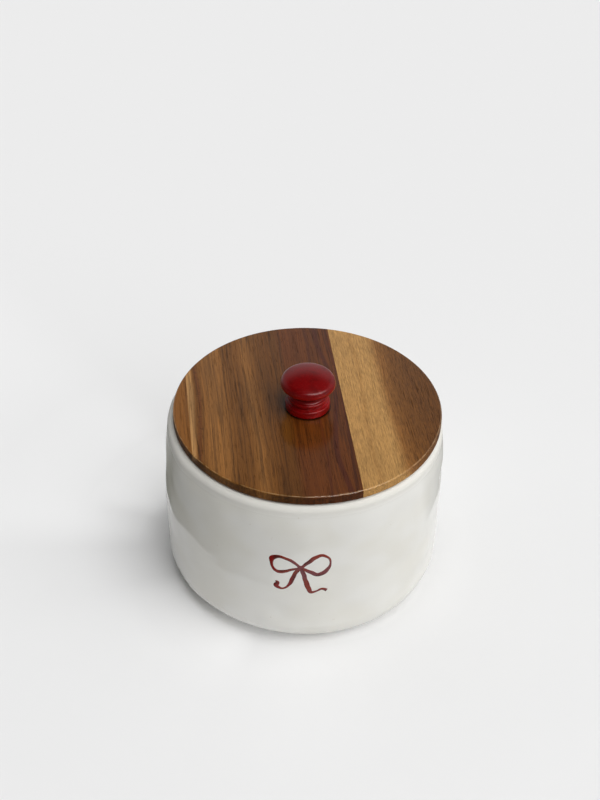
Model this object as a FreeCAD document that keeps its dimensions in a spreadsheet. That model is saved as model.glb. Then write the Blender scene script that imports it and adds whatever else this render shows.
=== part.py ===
import FreeCAD, Part
import math
import operator
import os
import Sketcher
from types import SimpleNamespace

# A round ceramic jar with a turned wooden lid. +Z is up, the jar stands on z = 0 and turns about Z.
# Lengths are in millimetres, angles in degrees. Names that end in share are plain ratios.
SIZES = {
    # Jar, outside. The side is one long arc that swells from the rim to the belly.
    "jar_height": 98.5,
    "rim_diameter": 146.0,
    "belly_swell": 2.0,
    "belly_height": 33.0,
    "base_corner": 16.0,
    "foot_width": 6.5,
    "foot_recess": 1.5,
    # Jar, inside. The mouth is a straight bore for the seal, and the belly opens below it.
    "wall": 6.5,
    "floor_thickness": 7.0,
    "floor_corner": 12.0,
    "mouth_depth": 20.0,
    "rim_outer_share": 0.62,
    "rim_inner_share": 0.28,
    # Lid: three boards glued edge to edge, then turned to a disc with a plug underneath.
    "lid_inset": 2.2,
    "lid_edge": 5.4,
    "lid_edge_round": 0.9,
    "plug_depth": 9.5,
    "plug_play": 1.8,
    "seat_gap": 0.3,
    "left_board_width": 8.3,
    "right_board_width": 51.3,
    "grain_angle": 7.5,
    # Seal: a soft ring in a groove round the plug, with two lips that reach for the mouth.
    "groove_rise": 3.0,
    "groove_height": 4.0,
    "groove_depth": 1.5,
    "seal_fit": 0.05,
    "seal_gap": 0.3,
    "lip_root": 1.4,
    "lip_tip": 0.6,
    # Knob: base ring, groove, bead, cove and domed cap, stacked up from the lid.
    "knob_base_diameter": 23.7,
    "knob_base_height": 4.6,
    "knob_foot_round": 0.4,
    "knob_base_round": 1.0,
    "knob_groove_diameter": 19.8,
    "knob_groove_width": 1.3,
    "knob_groove_floor_share": 0.45,
    "knob_bead_height": 2.5,
    "knob_neck_diameter": 19.4,
    "knob_neck_height": 5.3,
    "knob_cap_diameter": 28.9,
    "knob_cap_lip": 1.9,
    "knob_dome_rise": 5.9,
    "bead_round_share": 0.52,
    "cove_round_share": 0.53,
    "dome_shoulder_share": 0.68,
    # Screw: countersunk, up through the middle board into the knob's pilot hole.
    "screw_length": 29.0,
    "screw_head_diameter": 8.4,
    "screw_head_height": 2.5,
    "screw_head_land": 0.3,
    "screw_shank_diameter": 4.0,
    "screw_core_diameter": 3.0,
    "screw_tip": 3.0,
    "screw_sink": 0.4,
    "screw_play": 0.2,
    "pilot_fit": 0.05,
    "pilot_spare": 1.5,
    "cross_span": 4.4,
    "cross_width": 1.1,
    "cross_depth": 1.7,
    # How far a cut runs past the faces it opens.
    "overrun": 2.0,
}
SHEET = "Sizes"
LEFT_TURN = 1
RIGHT_TURN = -1
OPERATIONS = {"+": operator.add, "-": operator.sub, "*": operator.mul, "/": operator.truediv}


class Size:
    """A length: its number, for a sketch's first shape, and its expression, which binds it to the sheet."""

    def __init__(self, number, text):
        self.number = number
        self.text = text

    def __add__(self, other):
        return combine(self, "+", other)

    def __sub__(self, other):
        return combine(self, "-", other)

    def __mul__(self, other):
        return combine(self, "*", other)

    def __truediv__(self, other):
        return combine(self, "/", other)

    def __neg__(self):
        return Size(-self.number, f"(-{self.text})")


def as_size(value):
    return value if isinstance(value, Size) else Size(value, str(value))


def combine(left, sign, right):
    left, right = as_size(left), as_size(right)
    return Size(OPERATIONS[sign](left.number, right.number), f"({left.text} {sign} {right.text})")


def square(size):
    return size * size


def root(size):
    return Size(math.sqrt(size.number), f"sqrt({size.text})")


def span(start, end):
    """Straight distance between two corners."""
    return root(square(end[0] - start[0]) + square(end[1] - start[1]))


doc = FreeCAD.newDocument("jar_with_lid")
sheet = doc.addObject("Spreadsheet::Sheet", SHEET)
for row, (name, number) in enumerate(SIZES.items(), start=1):
    sheet.set(f"A{row}", name)
    sheet.set(f"B{row}", str(number))
    sheet.setAlias(f"B{row}", name)
doc.recompute()
s = SimpleNamespace(**{name: Size(number, f"{SHEET}.{name}") for name, number in SIZES.items()})


def arc_between(start, end, radius, turn):
    """The shorter arc from start to end, with its centre to the left of the way for a left turn."""
    along = end - start
    half = along.Length / 2
    left = FreeCAD.Vector(-along.y, along.x, 0).normalize()
    centre = (start + end) / 2 + left * turn * math.sqrt(radius * radius - half * half)
    circle = Part.Circle(centre, FreeCAD.Vector(0, 0, 1), radius)
    first, last = (start, end) if turn == LEFT_TURN else (end, start)
    return Part.ArcOfCircle(circle, circle.parameter(first), circle.parameter(last))


def hold(sketch, constraint, text):
    index = sketch.addConstraint(constraint)
    sketch.setExpression(f"Constraints[{index}]", text)


def hold_corner(sketch, geometry, end, x, y):
    """Ties one end of a line or arc to its two coordinates, or to the axis where one is zero."""
    for kind, axis, size in (("DistanceX", -2, as_size(x)), ("DistanceY", -1, as_size(y))):
        if size.number == 0:
            sketch.addConstraint(Sketcher.Constraint("PointOnObject", geometry, end, axis))
        else:
            hold(sketch, Sketcher.Constraint(kind, -1, 1, geometry, end, size.number), size.text)


def outline(body, name, plane_role, corners):
    """Draws a closed outline. A corner is (x, y), reached by a line, or (x, y, radius, turn), by an arc."""
    sketch = body.newObject("Sketcher::SketchObject", name)
    plane = next(plane for plane in body.Origin.OriginFeatures if plane.Role == plane_role)
    sketch.AttachmentSupport = (plane, [""])
    sketch.MapMode = "FlatFace"
    points = [FreeCAD.Vector(as_size(c[0]).number, as_size(c[1]).number, 0) for c in corners]
    ends = []
    for number, corner in enumerate(corners):
        start, end = points[number - 1], points[number]
        first, last = 1, 2
        if len(corner) == 2:
            geometry = sketch.addGeometry(Part.LineSegment(start, end), False)
        else:
            radius, turn = corner[2:]
            geometry = sketch.addGeometry(arc_between(start, end, radius.number, turn), False)
            hold(sketch, Sketcher.Constraint("Radius", geometry, radius.number), radius.text)
            first, last = (first, last) if turn == LEFT_TURN else (last, first)
        ends.append((geometry, first, last))
    for number, corner in enumerate(corners):
        geometry, first, last = ends[number]
        following, following_first, _ = ends[(number + 1) % len(corners)]
        sketch.addConstraint(Sketcher.Constraint("Coincident", geometry, last, following, following_first))
        hold_corner(sketch, geometry, last, corner[0], corner[1])
    return sketch


def new_body(label, height, angle=None):
    """A body that stands at a height on the Z axis, turned about it by the angle."""
    body = doc.addObject("PartDesign::Body", label)
    body.Label = label
    if as_size(height).number:
        body.setExpression("Placement.Base.z", height.text)
    if angle:
        body.setExpression("Placement.Rotation.Angle", angle.text)
    return body


def turn_solid(body, name, corners, kind="PartDesign::Revolution"):
    """Turns an outline of radii and heights a full circle about Z, to add it or, as a Groove, to cut it."""
    sketch = outline(body, f"{name}_outline", "XZ_Plane", corners)
    feature = body.newObject(kind, name)
    feature.Profile = sketch
    feature.ReferenceAxis = (sketch, ["V_Axis"])
    return feature


def cut_up(body, name, corners, depth=None):
    """Cuts an outline of the body's ground plane upwards, right through unless a depth is given."""
    doc.recompute()
    volume = body.Shape.Volume
    pocket = body.newObject("PartDesign::Pocket", name)
    pocket.Profile = outline(body, f"{name}_outline", "XY_Plane", corners)
    pocket.Reversed = True
    if depth:
        pocket.Type = "Length"
        pocket.setExpression("Length", depth.text)
    else:
        pocket.Type = "ThroughAll"
    doc.recompute()
    if not body.Shape.Volume < volume:
        raise RuntimeError(f"{name} cuts nothing from {body.Label}")


# Radii and heights that several pieces share
rim_radius = s.rim_diameter / 2
belly_radius = rim_radius + s.belly_swell
mouth_radius = rim_radius - s.wall
floor_height = s.foot_recess + s.floor_thickness
lid_radius = rim_radius - s.lid_inset
lid_thickness = s.plug_depth + s.lid_edge
plug_radius = mouth_radius - s.plug_play
groove_radius = plug_radius - s.groove_depth
groove_top = s.groove_rise + s.groove_height
lid_underside = s.jar_height + s.seat_gap
plug_underside = lid_underside - s.plug_depth
lid_top = lid_underside + s.lid_edge
pilot_radius = s.screw_core_diameter / 2 + s.pilot_fit


def swell_radius(height):
    """Radius of the arc that stands upright at the belly and has lost the swell after this height."""
    return (square(height) + square(s.belly_swell)) / (s.belly_swell * 2)


def round_off(centre, side, corner, height):
    """Rounds the side arc off to a level face: centre of the corner's arc, and where the two arcs meet.

    centre is the side arc's distance from the axis, at belly height, and side is its radius. The corner's
    arc lies inside it, with its own centre at this height.
    """
    rise = height - s.belly_height
    inward = root(square(side - corner) - square(rise))
    reach = side / (side - corner)
    return centre + inward, centre + inward * reach, s.belly_height + rise * reach


def make_jar():
    body = new_body("jar", 0)
    # Outside: foot ring, base corner, swelling side, rim
    side = swell_radius(s.jar_height - s.belly_height)
    centre = belly_radius - side
    rim_outer = s.wall * s.rim_outer_share
    rim_inner = s.wall * s.rim_inner_share
    foot, base_r, base_z = round_off(centre, side, s.base_corner, s.base_corner)
    crest, rim_r, rim_z = round_off(centre, side, rim_outer, s.jar_height - rim_outer)
    # Inside: straight mouth, swelling side, floor corner
    mouth_bottom = s.jar_height - s.mouth_depth
    inner_side = swell_radius(mouth_bottom - s.belly_height)
    inner_centre = belly_radius - s.wall - inner_side
    floor_r, corner_r, corner_z = round_off(inner_centre, inner_side, s.floor_corner,
                                            floor_height + s.floor_corner)
    turn_solid(body, "jar_wall", [
        (0, s.foot_recess),
        (foot - s.foot_width, s.foot_recess),
        (foot - s.foot_width, 0),
        (foot, 0),
        (base_r, base_z, s.base_corner, LEFT_TURN),
        (rim_r, rim_z, side, LEFT_TURN),
        (crest, s.jar_height, rim_outer, LEFT_TURN),
        (mouth_radius + rim_inner, s.jar_height),
        (mouth_radius, s.jar_height - rim_inner, rim_inner, LEFT_TURN),
        (mouth_radius, mouth_bottom),
        (corner_r, corner_z, inner_side, RIGHT_TURN),
        (floor_r, floor_height, s.floor_corner, RIGHT_TURN),
        (0, floor_height),
    ])
    return body


def turn_lid(body):
    """The lid's turned form, from the plug's underside up, before the boards are parted."""
    edge = s.lid_edge_round
    turn_solid(body, f"{body.Label}_disc", [
        (0, 0),
        (plug_radius - edge, 0),
        (plug_radius, edge),
        (plug_radius, s.groove_rise),
        (groove_radius, s.groove_rise),
        (groove_radius, groove_top),
        (plug_radius, groove_top),
        (plug_radius, s.plug_depth),
        (lid_radius - edge, s.plug_depth),
        (lid_radius, s.plug_depth + edge, edge, LEFT_TURN),
        (lid_radius, lid_thickness - edge),
        (lid_radius - edge, lid_thickness, edge, LEFT_TURN),
        (0, lid_thickness),
    ])


def make_board(label, cuts):
    """One board of the lid. Its grain runs along the body's Y, and each cut takes away a band of X."""
    body = new_body(label, plug_underside, s.grain_angle)
    turn_lid(body)
    reach = lid_radius + s.overrun
    for name, low, high in cuts:
        cut_up(body, f"{label}_{name}", [(low, -reach), (high, -reach), (high, reach), (low, reach)])
    return body


def make_boards():
    left_joint = -(lid_radius - s.left_board_width)
    right_joint = lid_radius - s.right_board_width
    outside = lid_radius + s.overrun
    left = make_board("lid_board_left", [("joint", left_joint, outside)])
    right = make_board("lid_board_right", [("joint", -outside, right_joint)])
    middle = make_board("lid_board_middle", [
        ("left_joint", -outside, left_joint),
        ("right_joint", right_joint, outside),
    ])
    # The screw's way through the middle board, with a countersink underneath
    head = s.screw_head_diameter / 2 + s.screw_play
    shank = s.screw_shank_diameter / 2 + s.screw_play
    turn_solid(middle, "screw_hole", [
        (0, -s.overrun),
        (head, -s.overrun),
        (head, s.screw_sink + s.screw_head_land),
        (shank, s.screw_sink + s.screw_head_height),
        (shank, lid_thickness + s.overrun),
        (0, lid_thickness + s.overrun),
    ], "PartDesign::Groove")
    return [left, middle, right]


def make_seal():
    body = new_body("lid_seal", plug_underside)
    inner = groove_radius + s.seal_fit
    bottom = s.groove_rise + s.seal_fit
    top = groove_top - s.seal_fit
    lip_radius = mouth_radius - s.seal_gap
    draft = (s.lip_root - s.lip_tip) / 2
    turn_solid(body, "seal_ring", [
        (inner, bottom),
        (plug_radius, bottom),
        (lip_radius, bottom + draft),
        (lip_radius, bottom + draft + s.lip_tip),
        (plug_radius, bottom + s.lip_root),
        (plug_radius, top - s.lip_root),
        (lip_radius, top - draft - s.lip_tip),
        (lip_radius, top - draft),
        (plug_radius, top),
        (inner, top),
    ])
    return body


def make_knob():
    body = new_body("knob", lid_top)
    base = s.knob_base_diameter / 2
    groove = s.knob_groove_diameter / 2
    neck = s.knob_neck_diameter / 2
    cap = s.knob_cap_diameter / 2
    # Heights, stacked up from the lid
    groove_bottom = s.knob_base_height + s.knob_groove_width * s.knob_groove_floor_share
    bead_bottom = s.knob_base_height + s.knob_groove_width
    bead_top = bead_bottom + s.knob_bead_height
    cap_underside = bead_top + s.knob_neck_height
    cap_edge = cap_underside + s.knob_cap_lip
    top = cap_edge + s.knob_dome_rise
    bead = span((groove, bead_bottom), (neck, bead_top)) * s.bead_round_share
    cove = span((neck, bead_top), (cap - s.knob_cap_lip, cap_underside)) * s.cove_round_share
    # The dome: a tight shoulder up from the cap's edge, then one flat arc to the top
    shoulder = s.knob_dome_rise * s.dome_shoulder_share
    inset = cap - shoulder
    drop = s.knob_dome_rise - shoulder
    dome = (square(inset) + square(s.knob_dome_rise) - square(shoulder)) / (drop * 2)
    reach = dome / (dome - shoulder)
    dome_centre = top - dome
    pilot_depth = s.screw_length + s.screw_sink + s.pilot_spare - lid_thickness
    turn_solid(body, "knob_turning", [
        (pilot_radius, 0),
        (base - s.knob_foot_round, 0),
        (base, s.knob_foot_round, s.knob_foot_round, LEFT_TURN),
        (base, s.knob_base_height - s.knob_base_round),
        (base - s.knob_base_round, s.knob_base_height, s.knob_base_round, LEFT_TURN),
        (groove, groove_bottom),
        (groove, bead_bottom),
        (neck, bead_top, bead, LEFT_TURN),
        (cap - s.knob_cap_lip, cap_underside, cove, RIGHT_TURN),
        (cap, cap_edge, s.knob_cap_lip, LEFT_TURN),
        (inset * reach, dome_centre + (cap_edge - dome_centre) * reach, shoulder, LEFT_TURN),
        (0, top, dome, LEFT_TURN),
        (0, pilot_depth),
        (pilot_radius, pilot_depth),
    ])
    return body


def make_screw():
    body = new_body("knob_screw", plug_underside + s.screw_sink)
    head = s.screw_head_diameter / 2
    shank = s.screw_shank_diameter / 2
    core = s.screw_core_diameter / 2
    board_top = lid_thickness - s.screw_sink
    turn_solid(body, "screw_shape", [
        (0, 0),
        (head, 0),
        (head, s.screw_head_land),
        (shank, s.screw_head_height),
        (shank, board_top - (shank - core)),
        (core, board_top),
        (core, s.screw_length - s.screw_tip),
        (0, s.screw_length),
    ])
    # Cross slot in the head, seen from under the lid
    arm = s.cross_span / 2
    half = s.cross_width / 2
    cut_up(body, "cross_slot", [
        (arm, -half), (arm, half), (half, half), (half, arm), (-half, arm), (-half, half),
        (-arm, half), (-arm, -half), (-half, -half), (-half, -arm), (half, -arm), (half, -half),
    ], s.cross_depth)
    return body


pieces = [make_jar(), *make_boards(), make_seal(), make_knob(), make_screw()]
doc.recompute()

for item in doc.Objects:
    if "Invalid" in item.State or "Error" in item.State:
        raise RuntimeError(f"{item.Label} failed: {item.State}")
    if item.TypeId == "Sketcher::SketchObject" and not item.FullyConstrained:
        raise RuntimeError(f"{item.Label} isn't fully constrained")
for piece in pieces:
    if piece.Shape.isNull() or not piece.Shape.isValid() or len(piece.Shape.Solids) != 1:
        raise RuntimeError(f"{piece.Label} isn't one valid solid")

os.makedirs("parts", exist_ok=True)
for piece in pieces:
    piece.Shape.exportStep(f"parts/{piece.Label}.step")
    box = piece.Shape.optimalBoundingBox()
    print(f"{piece.Label}: {piece.Shape.Volume:.1f} mm3, {box.XLength:.1f} x {box.YLength:.1f} mm, "
          f"z {box.ZMin:.2f} to {box.ZMax:.2f}")
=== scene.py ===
import math
import bpy
import numpy as np
from mathutils import Matrix, Vector


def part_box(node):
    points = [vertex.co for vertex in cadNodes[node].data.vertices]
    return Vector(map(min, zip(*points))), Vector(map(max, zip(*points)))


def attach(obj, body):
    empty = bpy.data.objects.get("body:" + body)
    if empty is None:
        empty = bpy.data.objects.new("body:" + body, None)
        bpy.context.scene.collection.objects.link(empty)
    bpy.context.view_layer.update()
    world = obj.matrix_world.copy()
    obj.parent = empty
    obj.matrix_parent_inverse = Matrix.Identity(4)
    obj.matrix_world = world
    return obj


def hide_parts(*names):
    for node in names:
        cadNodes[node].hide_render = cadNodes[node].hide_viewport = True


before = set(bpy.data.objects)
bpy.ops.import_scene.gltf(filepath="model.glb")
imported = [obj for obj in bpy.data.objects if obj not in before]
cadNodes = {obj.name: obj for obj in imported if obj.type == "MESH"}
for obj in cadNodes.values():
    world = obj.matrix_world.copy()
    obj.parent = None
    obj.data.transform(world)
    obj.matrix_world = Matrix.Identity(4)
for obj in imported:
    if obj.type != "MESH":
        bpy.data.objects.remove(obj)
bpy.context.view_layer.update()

# A white glazed jar with a turned lid of three boards and a red knob.
# Pieces are worked out in millimetres and put into their meshes in metres, in the frame's own place.
mm = 0.001
scene = bpy.context.scene
scene.view_settings.view_transform = "Standard"
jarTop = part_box("jar")[1].z / mm
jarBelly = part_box("jar")[1].y / mm
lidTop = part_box("lid_board_middle")[1].z / mm
print("frame: jar", round(jarTop, 2), "mm high, lid top at", round(lidTop, 2), "mm")


def seen(red, green, blue):
    # A colour as it looks on screen, 0 to 255, turned into linear light.
    share = np.array([red, green, blue]) / 255
    linear = np.where(share <= 0.04045, share / 12.92, ((share + 0.055) / 1.055) ** 2.4)
    return (*linear.tolist(), 1)


def ease(value):
    # 0 below 0, 1 above 1, and between them the S-shaped 3t^2 - 2t^3.
    t = np.clip(value, 0, 1)
    return t * t * (3 - 2 * t)


class Wire:
    # One shader socket. Sums of wires and numbers add their Math nodes.
    def __init__(self, sheet, socket):
        self.sheet, self.socket = sheet, socket

    def maths(self, operation, *parts):
        return self.sheet.node("ShaderNodeMath", {"operation": operation}, dict(enumerate(parts)))

    def __add__(self, other): return self.maths("ADD", self, other)
    def __radd__(self, other): return self.maths("ADD", other, self)
    def __sub__(self, other): return self.maths("SUBTRACT", self, other)
    def __rsub__(self, other): return self.maths("SUBTRACT", other, self)
    def __mul__(self, other): return self.maths("MULTIPLY", self, other)
    def __rmul__(self, other): return self.maths("MULTIPLY", other, self)
    def __truediv__(self, other): return self.maths("DIVIDE", self, other)
    def __rtruediv__(self, other): return self.maths("DIVIDE", other, self)
    def __pow__(self, other): return self.maths("POWER", self, other)
    def __abs__(self): return self.maths("ABSOLUTE", self)


class Sheet:
    # The node sheet of a material or of the world.
    def __init__(self, owner):
        owner.use_nodes = True
        self.owner, self.tree = owner, owner.node_tree
        self.shader = self.tree.nodes.get("Principled BSDF")

    def join(self, value, socket):
        if isinstance(value, Wire):
            self.tree.links.new(value.socket, socket)
        else:
            socket.default_value = value

    def node(self, kind, settings=None, sockets=None, out=0):
        made = self.tree.nodes.new(kind)
        for key, value in (settings or {}).items():
            if key == "stops":
                ramp = made.color_ramp.elements
                while len(ramp) < len(value):
                    ramp.new(1)
                for stop, (position, colour) in zip(ramp, value):
                    stop.position, stop.color = position, colour
            else:
                setattr(made, key, value)
        for key, value in (sockets or {}).items():
            self.join(value, made.inputs[key])
        return Wire(self, made.outputs[out])

    def feed(self, sockets):
        for key, value in sockets.items():
            self.join(value, self.shader.inputs[key])

    def place(self, turn=0.0, shift=(0, 0, 0)):
        # Object coordinates in millimetres, turned about Z and then shifted, as three wires.
        where = self.node("ShaderNodeTexCoord", out="Object")
        turned = self.node("ShaderNodeMapping", {}, {"Vector": where, "Scale": (1 / mm,) * 3, "Location": shift,
                                                     "Rotation": (0, 0, math.radians(turn))})
        return [self.node("ShaderNodeSeparateXYZ", {}, {0: turned}, out=axis) for axis in range(3)]

    def noise(self, x, y, z, detail=2.0, rough=0.5):
        # Soft noise from 0 to 1 at a point that is given by three wires or numbers.
        point = self.node("ShaderNodeCombineXYZ", {}, {0: x, 1: y, 2: z})
        return self.node("ShaderNodeTexNoise", {"noise_dimensions": "3D"},
                         {"Vector": point, "Scale": 1.0, "Detail": detail, "Roughness": rough})

    def noiseAt(self, place, scales, detail=2.0, rough=0.5):
        # The same at a place of three wires, each made finer by its scale.
        return self.noise(*(axis * scale for axis, scale in zip(place, scales)), detail, rough)

    def step(self, value, low, high, start=0.0, stop=1.0):
        # Eases from start to stop while the value goes from low to high.
        return self.node("ShaderNodeMapRange", {"interpolation_type": "SMOOTHSTEP"},
                         {"Value": value, "From Min": low, "From Max": high, "To Min": start, "To Max": stop})

    def mix(self, share, first, second, blend="MIX"):
        return self.node("ShaderNodeMix", {"data_type": "RGBA", "blend_type": blend},
                         {0: share, 6: first, 7: second}, out=2)

    def bump(self, height, depth, strength=1.0):
        return self.node("ShaderNodeBump", {}, {"Height": height, "Distance": depth * mm, "Strength": strength})


def finish(name):
    return Sheet(bpy.data.materials.new(name))


def closedSurface(name, rings, firstPole, lastPole, sheet, marks=None):
    # A closed skin: rings of points joined by quads, with a fan of triangles to a pole at either end.
    # Faces turn outwards: if the enclosed volume comes out negative, every face is reversed.
    count, around = rings.shape[:2]
    points = np.concatenate([[firstPole], rings.reshape(-1, 3), [lastPole]]) * mm
    index = 1 + np.arange(count * around).reshape(count, around)
    onward = np.roll(index, -1, axis=1)
    quads = np.stack([index[:-1], onward[:-1], onward[1:], index[1:]], -1).reshape(-1, 4)
    start = np.stack([np.zeros(around, int), onward[0], index[0]], -1)
    stop = np.stack([index[-1], onward[-1], np.full(around, len(points) - 1)], -1)
    split = np.concatenate([quads[:, [0, 1, 2]], quads[:, [0, 2, 3]], start, stop])
    a, b, c = (points[split[:, k]] for k in range(3))
    if np.einsum("ij,ij->i", a, np.cross(b, c)).sum() < 0:
        quads, start, stop = quads[:, ::-1], start[:, ::-1], stop[:, ::-1]
    mesh = bpy.data.meshes.new(name)
    mesh.from_pydata(points.tolist(), [], quads.tolist() + start.tolist() + stop.tolist())
    mesh.polygons.foreach_set("use_smooth", np.ones(len(mesh.polygons), bool))
    for mark, values in (marks or {}).items():     # a number for each point, which the finish reads
        mesh.attributes.new(mark, "FLOAT", "POINT").data.foreach_set("value", values.astype(np.float32))
    mesh.materials.append(sheet.owner)
    mesh.update()
    piece = bpy.data.objects.new(name, mesh)
    scene.collection.objects.link(piece)
    return piece


def turnedLine(stations, step, close=0.05):
    # A turned profile of (radius, height) points. Each station is joined to the one before by a straight run, or, where
    # it has a third number, by an arc of that radius whose centre is on the left (+) or right (-) of the way.
    # Points lie about a step apart, and each run has one close to either end, which keeps its corners crisp.
    parts = [np.array([stations[0][:2]], float)]
    for before, station in zip(stations, stations[1:]):
        a, b = np.array(before[:2], float), np.array(station[:2], float)
        way = b - a
        length = np.hypot(*way)
        near = min(close / length, 0.2)
        even = np.linspace(0, 1, max(3, math.ceil(length / step)) + 1)[1:]
        t = np.unique(np.concatenate([even, [near, 1 - near]]))[:, None]
        if len(station) == 2:
            parts.append(a + way * t)
            continue
        radius, side = abs(station[2]), math.copysign(1, station[2])
        left = np.array([-way[1], way[0]]) / length
        centre = (a + b) / 2 + left * side * math.sqrt(max(radius ** 2 - length ** 2 / 4, 0))
        angle = math.atan2(*(a - centre)[::-1]) + side * 2 * math.asin(min(length / 2 / radius, 1)) * t
        parts.append(centre + radius * np.concatenate([np.cos(angle), np.sin(angle)], 1))
    return np.concatenate(parts)


# Camera at the photograph's angle, in millimetres and degrees, with its clip distances in metres
view = {
    "place": (-4.0, -565.6, 562.1), "down": 38.76, "roll": 1.31, "lens": 62.15, "sensor": 36.0, "clip": (0.01, 20.0),
}


def setCamera():
    camera = bpy.data.objects.new("camera", bpy.data.cameras.new("camera"))
    scene.collection.objects.link(camera)
    camera.data.lens, camera.data.sensor_width = view["lens"], view["sensor"]
    camera.data.clip_start, camera.data.clip_end = view["clip"]
    tilt = Matrix.Rotation(math.radians(90 - view["down"]), 4, "X")
    roll = Matrix.Rotation(math.radians(view["roll"]), 4, "Z")
    camera.matrix_world = Matrix.Translation(Vector(view["place"]) * mm) @ (tilt @ roll)
    scene.camera = camera
    print("camera set")


# Studio: a pale floor and backdrop, a soft sky that is bright on the right and dark on the left, and two soft lamps
studio = {
    "floorHalf": 6.0, "bounce": 0.60, "bounceFrom": (128.0, 140.0), "paperReach": 200.0,
    # paper tone by distance from the jar in mm, painted paler under the jar's overhang against its contact shade, and
    # how it differs towards some sides: painted shade where the jar throws light, and painted light in the lamps' far
    # shadow and in the soft shade of the left front
    "paper": [(0, 0.94), (66, 0.94), (74, 0.83), (200, 0.83)],
    "paperSides": {
        "lit": {"turn": -25.0, "side": (0.3, 1.0),
                "tones": [(0, 0.94), (64, 0.94), (74, 0.735), (100, 0.745), (140, 0.79), (200, 0.83)]},
        "shade": {"turn": 155.0, "side": (0.88, 0.97),
                  "tones": [(0, 0.83), (84, 0.86), (96, 0.98), (120, 0.95), (200, 0.86)]},
        "left": {"turn": 225.0, "side": (0.88, 0.96),
                 "tones": [(0, 0.97), (70, 0.97), (76, 0.96), (85, 0.915), (100, 0.86), (120, 0.84), (200, 0.83)]},
    },
    # painted light: a glow that only the camera sees, standing in for the little light that a real sheet throws back
    # into the gap under the front, and into the thin shade behind
    "paperPaintedGlow": {
        "front": {"turn": -75.0, "side": (0.3, 0.75), "tones": [(0, 0.1), (68, 0.1), (75, 0.0), (200, 0.0)]},
        "behind": {"turn": 148.0, "side": (0.945, 0.985),
                   "tones": [(0, 0.0), (82, 0.0), (92, 0.11), (108, 0.1), (135, 0.0), (200, 0.0)]},
    },
    # painted reflections: dark patches of the paper that only shiny things see, standing in for dark stretches of the
    # room beyond the paper
    "paintedReflections": {
        "left": {"centre": (15.0, -25.0), "turn": 222.0, "from": (129.5, 132.0), "side": (-0.15, 0.35),
                 "tone": (0.13, 0.13, 0.095, 1)},
        "low": {"centre": (0.0, 0.0), "turn": 236.0, "from": (116.0, 119.0), "side": (0.945, 0.962),
                "tone": (0.2, 0.2, 0.16, 1)},
        "right": {"centre": (0.0, 0.0), "turn": 32.0, "from": (112.0, 117.0), "side": (0.8, 0.9),
                  "tone": (0.32, 0.32, 0.3, 1)},
    },
    # the backdrop, and between which heights it fades to the dark overhead
    "backdrop": 0.85, "overhead": 0.05, "fade": (0.50, 0.74),
    # the share of the backdrop that shiny things see, less towards the front left and low down
    "sheen": 0.7, "backTurn": 70.0, "backFrom": (-0.5, 0.4), "frontLeft": 0.15,
    "sheenRise": (0.0, 0.35), "lowSheen": 0.75,
    # a long window on the right front: its direction and spread, its middle's height and slope, and half its own height
    "window": {"turn": -60.0, "spread": (0.45, 0.8), "height": 0.66, "slope": 0.2, "half": (0.08, 0.2),
               "strength": 8.5},
    # the unseen sky's light from the dark side to the bright one
    "skyTurn": -4.0, "skyFrom": (-0.95, 0.95), "sky": (0.0, 0.70),
    "lamps": {
        "over": {"azimuth": -45.0, "elevation": 75.0, "angle": 44.0, "strength": 1.62},
        "side": {"azimuth": -36.0, "elevation": 40.0, "angle": 60.0, "strength": 0.80},
    },
}


def setFloor():
    # One wide sheet at height 0, whose tone goes by the distance and the direction from the jar's axis, with painted
    # light and shade in it.
    half, reach = studio["floorHalf"], studio["paperReach"]
    mesh = bpy.data.meshes.new("floor")
    mesh.from_pydata([(-half, -half, 0), (half, -half, 0), (half, half, 0), (-half, half, 0)], [], [(0, 1, 2, 3)])
    floor = bpy.data.objects.new("floor", mesh)
    scene.collection.objects.link(floor)
    paper = finish("floor paper")
    x, y = paper.place()[:2]

    def around(centre, turn):
        # Distance from a centre, and the cosine of the angle to a direction.
        right, back = x - centre[0], y - centre[1]
        away = (right * right + back * back) ** 0.5
        return away, (right * math.cos(math.radians(turn)) + back * math.sin(math.radians(turn))) / away

    away = around((0, 0), 0)[0]

    def byDistance(tones):
        stops = [(at / reach, (tone, tone, tone, 1)) for at, tone in tones]
        return paper.node("ShaderNodeValToRGB", {"stops": stops}, {0: away * (1 / reach)})

    camera, diffuse, glossy = (paper.node("ShaderNodeLightPath", out=kind)
                               for kind in ("Is Camera Ray", "Is Diffuse Ray", "Is Glossy Ray"))
    tone, glow = byDistance(studio["paper"]), (0, 0, 0, 1)
    # painted shade where the jar throws light, painted light in the lamps' far shadow and the left front's shade
    for part in studio["paperSides"].values():
        share = paper.step(around((0, 0), part["turn"])[1], *part["side"])
        tone = paper.mix(share, tone, byDistance(part["tones"]))
    # painted light: only the camera sees the paper glow near the jar
    for part in studio["paperPaintedGlow"].values():
        share = camera * paper.step(around((0, 0), part["turn"])[1], *part["side"])
        glow = paper.mix(share, glow, byDistance(part["tones"]))
    bounce = (studio["bounce"],) * 3 + (1,)
    tone = paper.mix(diffuse * paper.step(away, *studio["bounceFrom"]), tone, bounce)
    # painted reflections: glossy rays see the paper darker in these patches
    for area in studio["paintedReflections"].values():
        far, toward = around(area["centre"], area["turn"])
        share = glossy * paper.step(far, *area["from"]) * paper.step(toward, *area["side"])
        tone = paper.mix(share, tone, area["tone"])
    paper.feed({"Base Color": tone, "Roughness": 1.0, "Specular IOR Level": 0.0,
                "Emission Color": glow, "Emission Strength": 1.0})
    mesh.materials.append(paper.owner)
    print("floor laid")


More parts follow.
